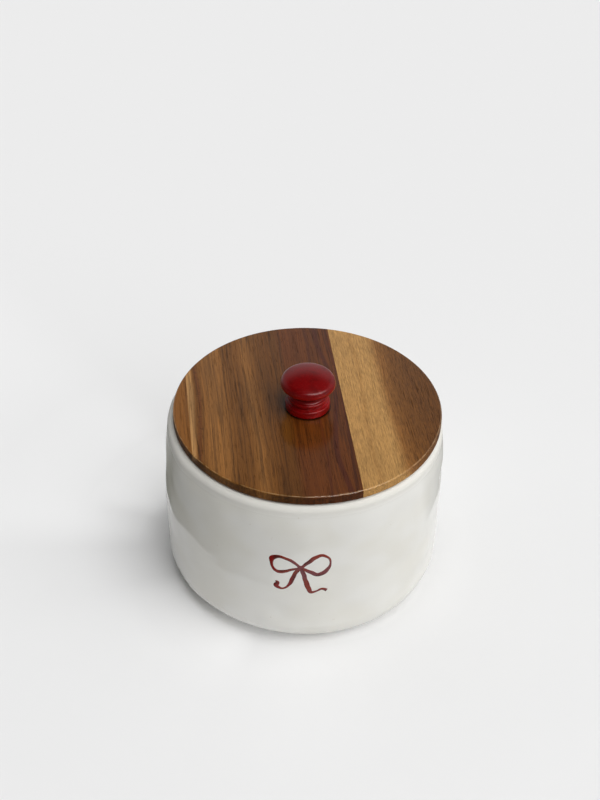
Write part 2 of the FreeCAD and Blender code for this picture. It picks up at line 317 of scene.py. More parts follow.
def setSky():
    # The pale backdrop is what the camera and shiny things see; the rest of the sky only lights the object.
    world = bpy.data.worlds.new("studio sky")
    scene.world = world
    sky = Sheet(world)
    way = sky.node("ShaderNodeTexCoord", out="Generated")
    height = sky.node("ShaderNodeSeparateXYZ", {}, {0: way}, out=2)
    window = studio["window"]

    def toward(turn):
        # Cosine of the angle between a ray and a level direction.
        level = (math.cos(math.radians(turn)), math.sin(math.radians(turn)), 0)
        return sky.node("ShaderNodeVectorMath", {"operation": "DOT_PRODUCT"}, {0: way, 1: level}, out="Value")

    shown = sky.step(height, *studio["fade"], studio["backdrop"], studio["overhead"])
    backward = sky.step(toward(studio["backTurn"]), *studio["backFrom"], studio["frontLeft"], 1.0)
    sheen = studio["sheen"] * shown * backward
    sheen = sheen * sky.step(height, *studio["sheenRise"], studio["lowSheen"], 1.0)
    off = abs(height - window["height"] - window["slope"] * toward(window["turn"] - 90))
    pane = sky.step(off, *window["half"], window["strength"], 0.0)
    sheen = sheen + sky.step(toward(window["turn"]), *window["spread"]) * pane
    glow = sky.step(toward(studio["skyTurn"]), *studio["skyFrom"], *studio["sky"])
    camera, glossy, clear = (sky.node("ShaderNodeLightPath", out=kind)
                             for kind in ("Is Camera Ray", "Is Glossy Ray", "Is Transmission Ray"))
    mirrored = glossy + clear - glossy * clear
    unseen = sheen * mirrored + glow * (1 - mirrored)
    backdrop = sky.tree.nodes["Background"]
    backdrop.inputs["Color"].default_value = (1, 1, 1, 1)
    sky.join(shown * camera + (1 - camera) * unseen, backdrop.inputs["Strength"])
    print("sky set")


def setLamps():
    for name, lamp in studio["lamps"].items():
        light = bpy.data.lights.new(name, "SUN")
        light.energy, light.angle = lamp["strength"], math.radians(lamp["angle"])
        turn, rise = math.radians(lamp["azimuth"]), math.radians(lamp["elevation"])
        source = Vector((math.cos(turn) * math.cos(rise), math.sin(turn) * math.cos(rise), math.sin(rise)))
        holder = bpy.data.objects.new(name, light)
        holder.visible_glossy = False          # highlights come from the window
        scene.collection.objects.link(holder)
        holder.matrix_world = source.to_track_quat("Z", "Y").to_matrix().to_4x4()
    print("lamps set:", len(studio["lamps"]))


# Jar: the CAD's own profile, with the soft unevenness of a hand-formed wall
jarForm = {
    "rimRadius": 73.0, "bellyHeight": 33.0, "baseCorner": 16.0, "footWidth": 6.5, "footRecess": 1.5, "footRound": 0.5,
    "wall": 6.5, "floorTop": 8.5, "floorCorner": 12.0, "mouthDepth": 20.0, "rimOutside": 4.03, "rimInside": 1.82,
    "around": 288, "step": 1.2, "lean": 1.2,
    # depth under the outer skin down to which the unevenness is full, and at which it is gone
    "skin": (0.5, 4.5),
    # soft hills and dents in the wall: how many, how deep, their least and greatest width; the limit of their depth,
    # and how far their centres stay above the foot and below the rim
    "seed": 5, "hills": [(70, 0.42, 8.0, 14.0), (120, 0.36, 3.8, 6.5)], "hillLimit": 0.42, "hillClear": (6.0, 2.0),
    # slow waves: their size, and for each its share, how many go round, its phase and the height that shifts it by 1
    "waves": 0.2, "slowWaves": [(1.0, 2, 0.7, math.inf), (0.6, 3, -1.2, 40.0)],
    # how far the wall leans in below the rim, and between which depths
    "shoulder": 0.5, "shoulderFrom": (15.0, 3.0),
    # how far the rim dips here and there, and the depth at which that ends
    "rimDip": 0.4, "rimDipEnd": 9.0,
}
bulge = jarBelly - jarForm["rimRadius"]
bellyArc = (bulge ** 2 + (jarTop - jarForm["bellyHeight"]) ** 2) / (2 * bulge)


def sideRadius(height):
    # The outer side is one long arc, widest at the belly: belly - arc + sqrt(arc^2 - (height - belly height)^2).
    return jarBelly - bellyArc + np.sqrt(bellyArc ** 2 - (height - jarForm["bellyHeight"]) ** 2)


def handWaves(angle, height):
    # Unevenness of the wall in mm: many soft round hills and dents on the unrolled wall, each a Gaussian of the
    # distance from its centre, and slow cosine waves round the jar.
    pick = np.random.default_rng(jarForm["seed"])
    aboveFoot, belowRim = jarForm["hillClear"]
    hills = 0
    for count, deep, narrow, broad in jarForm["hills"]:
        aroundAt = pick.uniform(-math.pi, math.pi, count)
        heightAt = pick.uniform(aboveFoot, jarTop - belowRim, count)
        width = pick.uniform(narrow, broad, count)
        depth = np.clip(pick.normal(0, deep, count), -jarForm["hillLimit"], jarForm["hillLimit"])
        across = (np.asarray(angle)[..., None] - aroundAt + math.pi) % (2 * math.pi) - math.pi
        apart = (across * jarBelly) ** 2 + (np.asarray(height)[..., None] - heightAt) ** 2
        hills = hills + (depth * np.exp(-apart / (2 * width ** 2))).sum(-1)
    slow = sum(share * np.cos(times * angle + phase + height / climb)
               for share, times, phase, climb in jarForm["slowWaves"])
    return hills + jarForm["waves"] * slow


def makeJar():
    # The profile of foot, base corner, side, rim, mouth, belly and floor, turned about Z; the outer side is then moved
    # by the unevenness, eased to nothing towards the mouth and the foot, and the rim dips a little here and there.
    form = jarForm
    sideAxis = jarBelly - bellyArc
    belly = form["bellyHeight"]
    corner = form["baseCorner"]
    cornerAt = sideAxis + math.sqrt((bellyArc - corner) ** 2 - (corner - belly) ** 2)
    cornerWay = math.atan2(corner - belly, cornerAt - sideAxis)
    rim = form["rimOutside"]
    rimAt = sideAxis + math.sqrt((bellyArc - rim) ** 2 - (jarTop - rim - belly) ** 2)
    rimWay = math.atan2(jarTop - rim - belly, rimAt - sideAxis)
    lip = form["rimInside"]
    mouth = form["rimRadius"] - form["wall"]
    mouthEnd = jarTop - form["mouthDepth"]
    inBelly = jarBelly - form["wall"]
    inArc = ((inBelly - mouth) ** 2 + (mouthEnd - belly) ** 2) / (2 * (inBelly - mouth))
    bend = form["floorCorner"]
    bendHigh = form["floorTop"] + bend
    bendAt = inBelly - inArc + math.sqrt((inArc - bend) ** 2 - (bendHigh - belly) ** 2)
    bendWay = math.atan2(bendHigh - belly, bendAt - inBelly + inArc)
    footIn, soft, recess = cornerAt - form["footWidth"], form["footRound"], form["footRecess"]
    line = turnedLine([
        (0, recess), (footIn - soft, recess), (footIn, recess - soft, -soft), (footIn, soft), (footIn + soft, 0, soft),
        (cornerAt, 0),
        (cornerAt + corner * math.cos(cornerWay), corner + corner * math.sin(cornerWay), corner),
        (rimAt + rim * math.cos(rimWay), jarTop - rim + rim * math.sin(rimWay), bellyArc),
        (rimAt, jarTop, rim), (mouth + lip, jarTop), (mouth, jarTop - lip, lip), (mouth, mouthEnd),
        (bendAt + bend * math.cos(bendWay), bendHigh + bend * math.sin(bendWay), -inArc),
        (bendAt, form["floorTop"], -bend), (0, form["floorTop"]),
    ], form["step"])
    angle = np.linspace(0, 2 * math.pi, form["around"], endpoint=False)[None]
    radius, height = line[1:-1, 0:1], line[1:-1, 1:2]
    full, gone = form["skin"]
    outer = ease((radius - sideRadius(height) + gone) / (gone - full))
    start, stop = (jarTop - depth for depth in form["shoulderFrom"])
    shoulder = form["shoulder"] * ease((height - start) / (stop - start))
    moved = radius + outer * (handWaves(angle, height) - shoulder)
    crest = ease((height - jarTop + form["rimDipEnd"]) / form["rimDipEnd"])
    dip = form["rimDip"] * crest * (0.5 + 0.5 * np.sin(3 * angle + 0.4) * np.cos(2 * angle - 0.9))
    rings = np.stack([moved * np.cos(angle) - outer * form["lean"], moved * np.sin(angle), height - dip], -1)
    jar = closedSurface("jarShell", rings, (0, 0, line[0, 1]), (0, 0, line[-1, 1]), glazeFinish())
    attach(jar, "jar")
    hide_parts("jar")
    print("jar made:", 2 * len(jar.data.polygons), "triangles at most")


glazeLook = {
    "white": seen(231, 230, 225), "thin": seen(226, 224, 216), "rim": seen(224, 222, 215), "bare": seen(219, 206, 187),
    "speck": seen(196, 188, 170),
    "drift": (0.03, 0.03, 0.04), "driftFrom": (0.35, 0.7), "fine": (0.35,) * 3, "pits": (0.015, 0.4),
    "specks": (0.75,) * 3, "speckFrom": (0.85, 0.89), "speckShare": 0.45,
    "footTop": (0.25, 0.55), "footUneven": 0.25, "rimFrom": (9.0, 2.5),
    "roughness": (0.02, 0.05), "roughFrom": (0.3, 0.7), "bareRoughness": 0.75, "rimRoughness": 0.85, "refraction": 1.5,
}


def glazeFinish():
    # White with the slightest drift of tone, rare pin specks, a satin rim a touch darker, partly where the glaze is
    # thin and partly as painted shade against the light that the rim's top catches, and a bare foot.
    look, sheet = glazeLook, finish("white glaze")
    x, y, z = sheet.place()
    drift = sheet.noiseAt((x, y, z), look["drift"])
    fine = sheet.noiseAt((x, y, z), look["fine"])
    speck = sheet.step(sheet.noiseAt((x, y, z), look["specks"], 0), *look["speckFrom"], 0.0, look["speckShare"])
    foot = 1 - sheet.step(z + look["footUneven"] * fine, *look["footTop"])
    crest = sheet.step(z, *(jarTop - down for down in look["rimFrom"]))
    colour = sheet.mix(sheet.step(drift, *look["driftFrom"]), look["white"], look["thin"])
    # the rim's darker tone is partly thin glaze and partly painted shade
    for share, name in ((crest, "rim"), (speck, "speck"), (foot, "bare")):
        colour = sheet.mix(share, colour, look[name])
    smooth = sheet.step(drift, *look["roughFrom"], *look["roughness"])
    smooth = smooth * (1 - crest) + look["rimRoughness"] * crest
    sheet.feed({
        "Base Color": colour,
        "Roughness": smooth * (1 - foot) + look["bareRoughness"] * foot,
        "Normal": sheet.bump(fine, *look["pits"]),
        "IOR": look["refraction"],
    })
    return sheet


# Bow: ribbon strokes of red underglaze paint. A stroke's points give its place right of and above the knot and its
# width in mm, and how red and how dark it is.
bowForm = {
    "knot": (-0.45, 59.3), "lift": 0.10, "sink": 0.35, "steps": 110, "across": 9,
    # how much higher each stroke lies than the one before, and how far apart their patches of colour start
    "overlap": 0.012, "patchStart": 40.0,
    # the edges' wobble, and its sines: their rate along the stroke, and the shift by stroke and by edge
    "wobble": 0.07, "wobbleSines": [(1.25, 2.1, 1.4), (0.62, -1.0, 2.6)],
    "strokes": {
        "leftLoop": [(-0.4, 0.3, 1.6, 0.1, 0.2), (-4.2, 4.3, 1.9, 0.2, 0.2), (-8.6, 6.4, 1.9, 0.5, 0.3),
                    (-12.4, 6.6, 2.5, 0.8, 0.85), (-14.8, 4.8, 2.9, 1, 0.3), (-15.1, 1.6, 1.8, 1, 0.1),
                    (-13.5, -2.6, 1.8, 0.8, 0.1), (-9.8, -3.7, 2.3, 0.6, 0.5), (-5, -1.7, 1.8, 0.3, 0.3),
                    (-0.6, -0.3, 1.3, 0.2, 0.3)],
        "rightLoop": [(0.6, 0.5, 1.6, 0.4, 0.1), (3.5, 3.6, 2.5, 0.2, 0.6), (7.2, 7.1, 2.4, 0.45, 0.1),
                     (10.8, 8.3, 2.1, 0.55, 0), (14.1, 6.2, 1.3, 0.45, 0), (15.1, 2.2, 1.1, 0.15, 0),
                     (13.4, -2.4, 2.5, 0.1, 0.1), (9.4, -5.0, 2.5, 0.2, 0.5), (5.5, -3.5, 2.6, 0.1, 0.1),
                     (0.8, -0.4, 1.4, 0.4, 0.1)],
        "leftTail": [(-0.8, -0.5, 1.9, 0.2, 0.2), (-3.0, -4.6, 2.4, 0.5, 0.5), (-4.6, -9.6, 2.2, 0.95, 0.5),
                    (-6.8, -13.9, 1.4, 0.85, 0.1), (-9.8, -15.6, 1.4, 0.6, 0.1), (-12.4, -13.9, 2.5, 1, 0.3),
                    (-11.8, -11.6, 2.2, 0.8, 0.6), (-12.8, -10.4, 0.9, 0.7, 0.4)],
        "rightTail": [(0.4, -0.8, 2.0, 0.1, 0.5), (1.7, -5.6, 2.5, 0.1, 0.3), (3.2, -11.2, 2.7, 0.5, 0.3),
                     (5.1, -16.7, 2.4, 0.35, 0.1), (8.0, -16.7, 1.3, 0.2, 0), (10.9, -15.2, 1.5, 0.3, 0.2),
                     (13.6, -16.6, 2.1, 0.15, 0.1)],
        "knotStroke": [(-1.7, 0.7, 1.6, 0.2, 0.2), (-0.4, 0.4, 2.8, 0.15, 0.2), (0.5, 0.1, 2.8, 0.2, 0.1),
                      (1.5, -0.2, 1.5, 0.2, 0.2)],
    },
}


def smoothRun(points, count):
    # A curve through the points: between each pair a Catmull-Rom cubic of the four nearest points.
    p = np.array(points, float)
    p = np.concatenate([[2 * p[0] - p[1]], p, [2 * p[-1] - p[-2]]])
    t = np.linspace(0, len(points) - 1, count)
    k = np.minimum(t.astype(int), len(points) - 2)
    u = (t - k)[:, None]
    a, b, c, d = p[k], p[k + 1], p[k + 2], p[k + 3]
    return 0.5 * (2 * b + (c - a) * u + (2 * a - 5 * b + 4 * c - d) * u ** 2 + (3 * b - a - 3 * c + d) * u ** 3)


def wallPoint(right, up, lift):
    # A point of the front wall: distance round the belly to the right of the front, height, and lift off the glaze.
    angle = right / jarBelly - math.pi / 2
    radius = sideRadius(up) + handWaves(angle, up) + lift
    return np.stack([radius * np.cos(angle) - jarForm["lean"], radius * np.sin(angle), up + 0 * angle], -1)


def makeBow():
    # Each stroke is a low dome carried along its curve on the wall: at the share v across, from -1 to 1, it lies
    # lift * sqrt(1 - v^2) above the glaze, and its underside is sunk into the wall. The edges waver as sines.
    form = bowForm
    v = np.linspace(-1, 1, form["across"])
    share = np.concatenate([v, v[-2:0:-1]])[None]
    topSide = np.concatenate([np.ones(len(v)), np.zeros(len(v) - 2)])[None]
    paint = paintFinish()
    for order, (name, points) in enumerate(form["strokes"].items()):
        run = smoothRun(points, form["steps"])
        way = np.gradient(run[:, :2], axis=0)
        way /= np.linalg.norm(way, axis=1)[:, None]
        gone = np.cumsum(np.linalg.norm(np.gradient(run[:, :2], axis=0), axis=1))[:, None]
        waver = sum(np.sin(rate * gone + byStroke * order + byEdge * np.sign(share))
                    for rate, byStroke, byEdge in form["wobbleSines"])
        half = share * run[:, 2:3] / 2 * (1 + form["wobble"] * waver)
        right = form["knot"][0] + run[:, 0:1] - way[:, 1:2] * half
        up = form["knot"][1] + run[:, 1:2] + way[:, 0:1] * half
        dome = (form["lift"] + form["overlap"] * order) * np.sqrt(1 - share ** 2)
        lift = dome * topSide - form["sink"] * (1 - topSide)
        rings = wallPoint(right, up, lift + 0 * right)
        marks = {"gone": gone + form["patchStart"] * order, "across": share, "red": run[:, 3:4], "dark": run[:, 4:5]}
        marks = {mark: (value + 0 * half).ravel() for mark, value in marks.items()}
        marks = {mark: np.concatenate([value[:1], value, value[-1:]]) for mark, value in marks.items()}
        stroke = closedSurface(name, rings, rings[0].mean(0), rings[-1].mean(0), paint, marks)
        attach(stroke, "jar")
    print("bow painted:", len(form["strokes"]), "strokes")


paintLook = {
    "deep": seen(122, 5, 3), "dark": seen(66, 12, 6), "brown": seen(126, 44, 28), "mauve": seen(112, 54, 58),
    "edge": seen(156, 44, 34),
    # fineness of the patches along a stroke and of the grain
    "patch": 0.4, "grain": (1.4,) * 3,
    # share of patch and grain in the tint, and of patch, side and grain in the dark
    "tintBy": (0.6, 0.4), "darkBy": (0.5, 0.25, 0.3),
    "brownFrom": (0.1, 0.45), "deepFrom": (0.45, 0.85), "darkFrom": (0.25, 0.75), "darkShare": 0.85,
    "edgeFrom": (0.65, 1.0), "edgeShare": 0.45,
    "roughness": 0.12, "grainRoughness": 0.06, "shine": 0.3,
}


def paintFinish():
    # From mauve over brown to full red by the stroke's own mark, mottled, pooled dark on one side, thin at the edges.
    look, sheet = paintLook, finish("red underglaze")
    gone, across, red, dark = (sheet.node("ShaderNodeAttribute", {"attribute_name": mark}, out="Fac")
                               for mark in ("gone", "across", "red", "dark"))
    patch = sheet.noise(gone * look["patch"], across * look["patch"], 0.0) - 0.5
    grain = sheet.noiseAt(sheet.place(), look["grain"], 3) - 0.5
    tint = red + patch * look["tintBy"][0] + grain * look["tintBy"][1]
    pooled = dark + patch * look["darkBy"][0] + across * look["darkBy"][1] + grain * look["darkBy"][2]
    colour = sheet.mix(sheet.step(tint, *look["brownFrom"]), look["mauve"], look["brown"])
    colour = sheet.mix(sheet.step(tint, *look["deepFrom"]), colour, look["deep"])
    colour = sheet.mix(sheet.step(pooled, *look["darkFrom"], 0.0, look["darkShare"]), colour, look["dark"])
    colour = sheet.mix(sheet.step(abs(across), *look["edgeFrom"], 0.0, look["edgeShare"]), colour, look["edge"])
    sheet.feed({
        "Base Color": colour,
        "Roughness": look["roughness"] + look["grainRoughness"] * grain,
        "Specular IOR Level": look["shine"],
    })
    return sheet


# Boards: a few wood tones, and for each board where they lie in mm across the grain and how its grain runs
woodTones = {
    "sap": seen(174, 131, 75), "pale": seen(173, 127, 75), "amber": seen(125, 77, 26), "honey": seen(131, 86, 39),
    "brown": seen(107, 66, 23), "umber": seen(91, 53, 14), "russet": seen(92, 47, 12), "plum": seen(64, 24, 15),
}
boardLooks = {
    # a stripe gives its place, how far and how often it sways, its phase, half its width, its tone and its share
    "lid_board_left": {
        "seed": 3.0, "wander": 1.5, "slant": 0.5, "streak": 0.17, "mottle": 0.1, "fibre": 0.5,
        "vein": 0.18, "pale": 0.10, "pores": 0.34, "poreFrom": None, "edgeGrainAndShade": 0.6,
        "tones": [(-74, "amber"), (-62, "amber")],
        "stripes": [],
    },
    "lid_board_middle": {
        "seed": 11.0, "wander": 2.2, "slant": -0.45, "streak": 0.25, "mottle": 0.1, "fibre": 0.5,
        "vein": 0.36, "pale": 0.18, "pores": 0.40, "poreFrom": None, "edgeGrainAndShade": 0.34,
        "tones": [(-66, "pale"), (-60.8, "pale"), (-59.2, "brown"), (-56, "brown"), (-52, "honey"), (-45, "honey"),
                  (-40, "brown"), (-33, "brown"), (-29, "honey"), (-24, "brown"), (-17, "umber"), (-12, "umber"),
                  (-8, "russet"), (22, "russet")],
        "stripes": [(13.6, 2.2, 95.0, 0.9, 2.1, "plum", 0.7), (18.6, 0.8, 120.0, 2.0, 1.3, "plum", 0.4),
                    (5.0, 1.2, 95.0, 4.0, 1.1, "plum", 0.4), (-57.3, 0.5, 90.0, 1.0, 1.5, "russet", 0.6)],
    },
    "lid_board_right": {
        "seed": 23.0, "wander": 2.0, "slant": 0.7, "streak": 0.05, "mottle": 0.9, "fibre": 1.6,
        "vein": 0.06, "pale": 0.05, "pores": 0.42, "poreFrom": (34.0, 52.0), "edgeGrainAndShade": -0.02,
        "tones": [(16, "sap"), (39.5, "sap"), (45, "honey"), (50.5, "brown"), (70, "umber")],
        "stripes": [(30.0, 2.0, 130.0, 0.0, 2.2, "honey", 0.2), (59.0, 1.6, 110.0, 2.4, 2.0, "umber", 0.6)],
    },
}
woodLook = {
    "grainTurn": -7.5, "quickWander": 1.8,
    # noises drawn out along the grain: how fine across and along it, if the seed shifts them along, detail, roughness
    "grain": {
        "slow": (0.03, 0.011, False, 2, 0.5), "quick": (0.14, 0.021, True, 3, 0.6), "patch": (0.05, 0.03, True, 2, 0.5),
        "broad": (0.17, 0.0045, False, 3, 0.6), "narrow": (0.6, 0.008, True, 3, 0.65),
        "thin": (1.7, 0.022, False, 2, 0.6), "fibre": (2.6, 0.10, True, 2, 0.6),
        "longPore": (2.0, 0.08, False, 1, 0.5), "shortPore": (3.2, 0.22, True, 1, 0.5),
    },
    "streaks": {"broad": 2.6, "narrow": 3.2, "thin": 3.0}, "patches": 0.3,
    # lines along the grain: how fine across and along it, how often the seed shifts them, half their width
    "veinLines": (0.2, 0.004, 2, 0.035), "paleLines": (0.26, 0.004, 5, 0.03),
    "poreFrom": {"longPore": (0.60, 0.70), "shortPore": (0.62, 0.72)}, "fewPores": 0.25,
    "mottleAlong": 0.3, "mottleSkew": 0.2,
    # short dark flecks along one line
    "fleckAt": -57.0, "fleckHalf": (0.6, 2.2), "flecks": (0.35, 1.1, 0.35), "fleckFrom": (0.55, 0.68), "fleckDark": 0.3,
    # stripes are full to a share of their half width, and fade on the lid's edge, which has fine lines of its own
    "stripeCore": 0.25, "edgeFacing": (0.15, 0.5), "edgeFade": 0.8, "edgeFine": (1.1, 0.02, 0.12), "edgeLines": 1.3,
    # dark ring round the knob's foot, painted shade; and the rubbed corner of the edge, painted paler, partly wear and
    # partly a painted highlight
    "knobShadeRing": (12.0, 12.9), "knobShadeDepth": 0.25,
    "wornGlintTone": seen(204, 170, 122), "wearAndGlint": (0.03, 0.28), "rubs": 0.25, "rubFrom": (0.38, 0.62),
    "cornerFrom": (0.5, 0.65), "cornerTo": (0.9, 0.97),
    "roughness": 0.5, "poreRoughness": 0.16, "streakRoughness": 0.3, "shine": 0.12, "relief": (0.05, 0.7),
    "varnish": 0.85, "poreVarnish": 0.5, "varnishRoughness": 0.16,
}


def woodFinish(node):
    # Boards are cut along Y once their turn is taken off. The tone across the grain wanders slowly along it and slants
    # with depth, so the edge shows the same rings. Streaks are noise drawn out along the grain at three widths. Veins
    # and pale lines are where slow noise crosses its middle, pores are where quick noise peaks, stripes sway as sines.
    look, wood = boardLooks[node], woodLook
    sheet = finish(node.replace("_", " ") + " wood")
    x, y, z = sheet.place(wood["grainTurn"])
    seed, deep = look["seed"], z - lidTop

    def drawn(name, across, depth):
        # Noise from 0 to 1, drawn out along the grain.
        fine, along, shiftAlong, detail, rough = wood["grain"][name]
        right, back = across * fine, y * along
        right, back = (right, back + seed) if shiftAlong else (right + seed, back)
        return sheet.noise(right, back, depth * fine, detail, rough)

    slow, quick, patch, fibre = (drawn(name, x, z) - 0.5 for name in ("slow", "quick", "patch", "fibre"))
    ring = x + slow * (2 * look["wander"]) + quick * wood["quickWander"] + deep * look["slant"]
    broad, narrow, thin = (drawn(name, ring, deep) - 0.5 for name in ("broad", "narrow", "thin"))

    def crossing(fine, along, shifts, half):
        # 1 where slow noise crosses its middle, falling to 0 on either side.
        off = abs(sheet.noise(ring * fine + shifts * seed, y * along, deep * fine, 2, 0.6) - 0.5)
        return sheet.step(off, 0.0, half, 1.0, 0.0)

    facing = sheet.node("ShaderNodeTexCoord", out="Normal")
    upward = sheet.node("ShaderNodeSeparateXYZ", {}, {0: facing}, out=2)
    side = sheet.step(abs(upward), *wood["edgeFacing"], 1.0, 0.0)
    low, high = look["tones"][0][0], look["tones"][-1][0]
    stops = [((at - low) / (high - low), woodTones[tone]) for at, tone in look["tones"]]
    tone = sheet.node("ShaderNodeValToRGB", {"stops": stops}, {0: (ring - low) * (1 / (high - low))})
    for at, sway, period, phase, half, name, share in look["stripes"]:
        bend = y * (2 * math.pi / period) + phase
        off = abs(ring - at - sway * bend.maths("SINE", bend))
        stripe = sheet.step(off, wood["stripeCore"] * half, half, share, 0.0) * (1 - wood["edgeFade"] * side)
        tone = sheet.mix(stripe, tone, woodTones[name])

    streaks = wood["streaks"]
    drawnOut = broad * streaks["broad"] + narrow * streaks["narrow"] + thin * streaks["thin"]
    shade = 1 + look["streak"] * drawnOut + wood["patches"] * patch
    shade = shade * (1 - look["vein"] * crossing(*wood["veinLines"]))
    shade = shade * (1 + look["pale"] * crossing(*wood["paleLines"]))
    longPore, shortPore = (sheet.step(drawn(name, x, z), *reach) for name, reach in wood["poreFrom"].items())
    pore = longPore + shortPore - longPore * shortPore
    poreDark = look["pores"]
    if look["poreFrom"]:
        poreDark = poreDark * sheet.step(ring, *look["poreFrom"], wood["fewPores"], 1.0)
    shade = shade * (1 - poreDark * pore)
    mottle = sheet.noise(x + seed, y * wood["mottleAlong"] + x * wood["mottleSkew"], z, 3, 0.65) - 0.5
    shade = shade * (1 + look["fibre"] * fibre + look["mottle"] * mottle)
    near = sheet.step(abs(ring - wood["fleckAt"]), *wood["fleckHalf"], 1.0, 0.0)
    fleck = near * sheet.step(sheet.noiseAt((x, y, z), wood["flecks"], 1), *wood["fleckFrom"])
    shade = shade * (1 - wood["fleckDark"] * fleck)
    # painted shade: a dark ring on the lid round the knob's foot
    away = (x * x + y * y) ** 0.5
    shade = shade * sheet.step(away, *wood["knobShadeRing"], wood["knobShadeDepth"], 1.0)
    # the board edges are darker for their end grain and as painted shade on the left and middle boards; the right
    # board's value below 0 paints light on its edge
    right, back, up = wood["edgeFine"]
    lines = sheet.noise(x * right + seed, y * back, z * up, 3, 0.7) - 0.5
    shade = shade * (1 - side * (look["edgeGrainAndShade"] + wood["edgeLines"] * lines))

    # the pale rubbed corner along the top edge is partly wear and partly a painted highlight
    rubs = sheet.noise(x * wood["rubs"], y * wood["rubs"], seed, 3, 0.7)
    corner = sheet.step(upward, *wood["cornerFrom"]) * sheet.step(upward, *wood["cornerTo"], 1.0, 0.0)
    worn = sheet.step(rubs, *wood["rubFrom"], *wood["wearAndGlint"]) * corner
    colour = sheet.mix(1.0, tone, shade, "MULTIPLY")
    sheet.feed({
        "Base Color": sheet.mix(worn, colour, wood["wornGlintTone"]),
        "Roughness": wood["roughness"] + wood["poreRoughness"] * pore + wood["streakRoughness"] * thin,
        "Coat Weight": wood["varnish"] * sheet.step(upward, *wood["edgeFacing"]) * (1 - wood["poreVarnish"] * pore),
        "Normal": sheet.bump(fibre + narrow - pore, *wood["relief"]),
        "Specular IOR Level": wood["shine"], "Coat Roughness": wood["varnishRoughness"],
    })
    return sheet


def dressLid():
    for node in boardLooks:
        cadNodes[node].material_slots[0].material = woodFinish(node).owner
    print("boards finished:", len(boardLooks))


# Knob: the CAD's stack of base, groove, bead, cove and cap, with fine turning marks under thick lacquer
knobForm = {
    "baseRadius": 11.85, "baseHeight": 4.6, "footRound": 1.1, "baseRound": 1.0, "grooveRadius": 9.9, "grooveWidth": 1.3,
    "grooveFloor": 0.45, "beadHeight": 2.5, "neckRadius": 9.7, "neckHeight": 5.3, "capRadius": 14.45, "capLip": 1.9,
    "domeRise": 5.9, "beadShare": 0.52, "coveShare": 0.53, "shoulderShare": 0.68,
    "pilotRadius": 1.55, "pilotDepth": 16.0, "around": 220, "step": 0.17,
    # chisel marks: their depth, the rates of their sines by height, and how far above the neck they end
    "marks": 0.035, "markRates": (9.1, 3.7, 2.3), "markEnd": 2.0,
    # lacquer: how thick it is, and for each wave its share, how many go round, its climb and its phase
    "lacquer": 0.05, "lacquerWaves": [(1.0, 2, 0.5, 0.0), (0.6, 5, -0.8, 1.0), (0.4, 9, 1.7, 0.0)],
    # radii between which marks and lacquer begin, clear of the pilot hole
    "unevenFrom": (7.0, 9.0),
}


def makeKnob():
    # The profile turned about Z; the lower half is moved along its radius by products of sines of the height, as chisel
    # marks, and the whole by cosine waves round the axis, as thick lacquer.
    form = knobForm
    bottom = form["baseHeight"]
    grooveLow = bottom + form["grooveWidth"] * form["grooveFloor"]
    beadLow = bottom + form["grooveWidth"]
    beadHigh = beadLow + form["beadHeight"]
    capLow = beadHigh + form["neckHeight"]
    capEdge = capLow + form["capLip"]
    top = capEdge + form["domeRise"]
    base, groove, neck, cap, capFoot = (form["baseRadius"], form["grooveRadius"], form["neckRadius"], form["capRadius"],
                                        form["capRadius"] - form["capLip"])
    bead = math.hypot(groove - neck, form["beadHeight"]) * form["beadShare"]
    cove = math.hypot(capFoot - neck, form["neckHeight"]) * form["coveShare"]
    shoulder = form["domeRise"] * form["shoulderShare"]
    inset, drop = cap - shoulder, form["domeRise"] - shoulder
    dome = (inset ** 2 + form["domeRise"] ** 2 - shoulder ** 2) / (2 * drop)
    reach = dome / (dome - shoulder)
    domeAxis = top - dome
    line = turnedLine([
        (0, form["pilotDepth"]), (form["pilotRadius"], form["pilotDepth"]), (form["pilotRadius"], 0),
        (base - form["footRound"], 0), (base, form["footRound"], form["footRound"]), (base, bottom - form["baseRound"]),
        (base - form["baseRound"], bottom, form["baseRound"]), (groove, grooveLow), (groove, beadLow),
        (neck, beadHigh, bead), (capFoot, capLow, -cove), (cap, capEdge, form["capLip"]),
        (inset * reach, domeAxis + (capEdge - domeAxis) * reach, shoulder), (0, top, dome),
    ], form["step"])
    angle = np.linspace(0, 2 * math.pi, form["around"], endpoint=False)[None]
    radius, height = line[1:-1, 0:1], line[1:-1, 1:2]
    start, full = form["unevenFrom"]
    uneven = ease((radius - start) / (full - start))
    lower = 1 - ease((height - capLow) / form["markEnd"])
    chisel, drift, swell = form["markRates"]
    marks = np.sin(height * chisel + 0.6 * np.sin(height * drift)) * (0.6 + 0.4 * np.sin(height * swell + 1))
    marks = marks * (0.7 + 0.3 * np.sin(3 * angle))
    thin = sum(share * (1 - np.cos(times * angle + climb * height + phase)) / 2
               for share, times, climb, phase in form["lacquerWaves"])
    moved = radius + uneven * (form["marks"] * lower * marks - form["lacquer"] * thin)
    rings = np.stack([moved * np.cos(angle), moved * np.sin(angle), lidTop + height + 0 * angle], -1)
    poles = [(0, 0, lidTop + line[end, 1]) for end in (0, -1)]
    knob = closedSurface("knobTurning", rings, *poles, lacquerFinish())
    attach(knob, "lid")
    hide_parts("knob")
    print("knob made:", 2 * len(knob.data.polygons), "triangles at most")


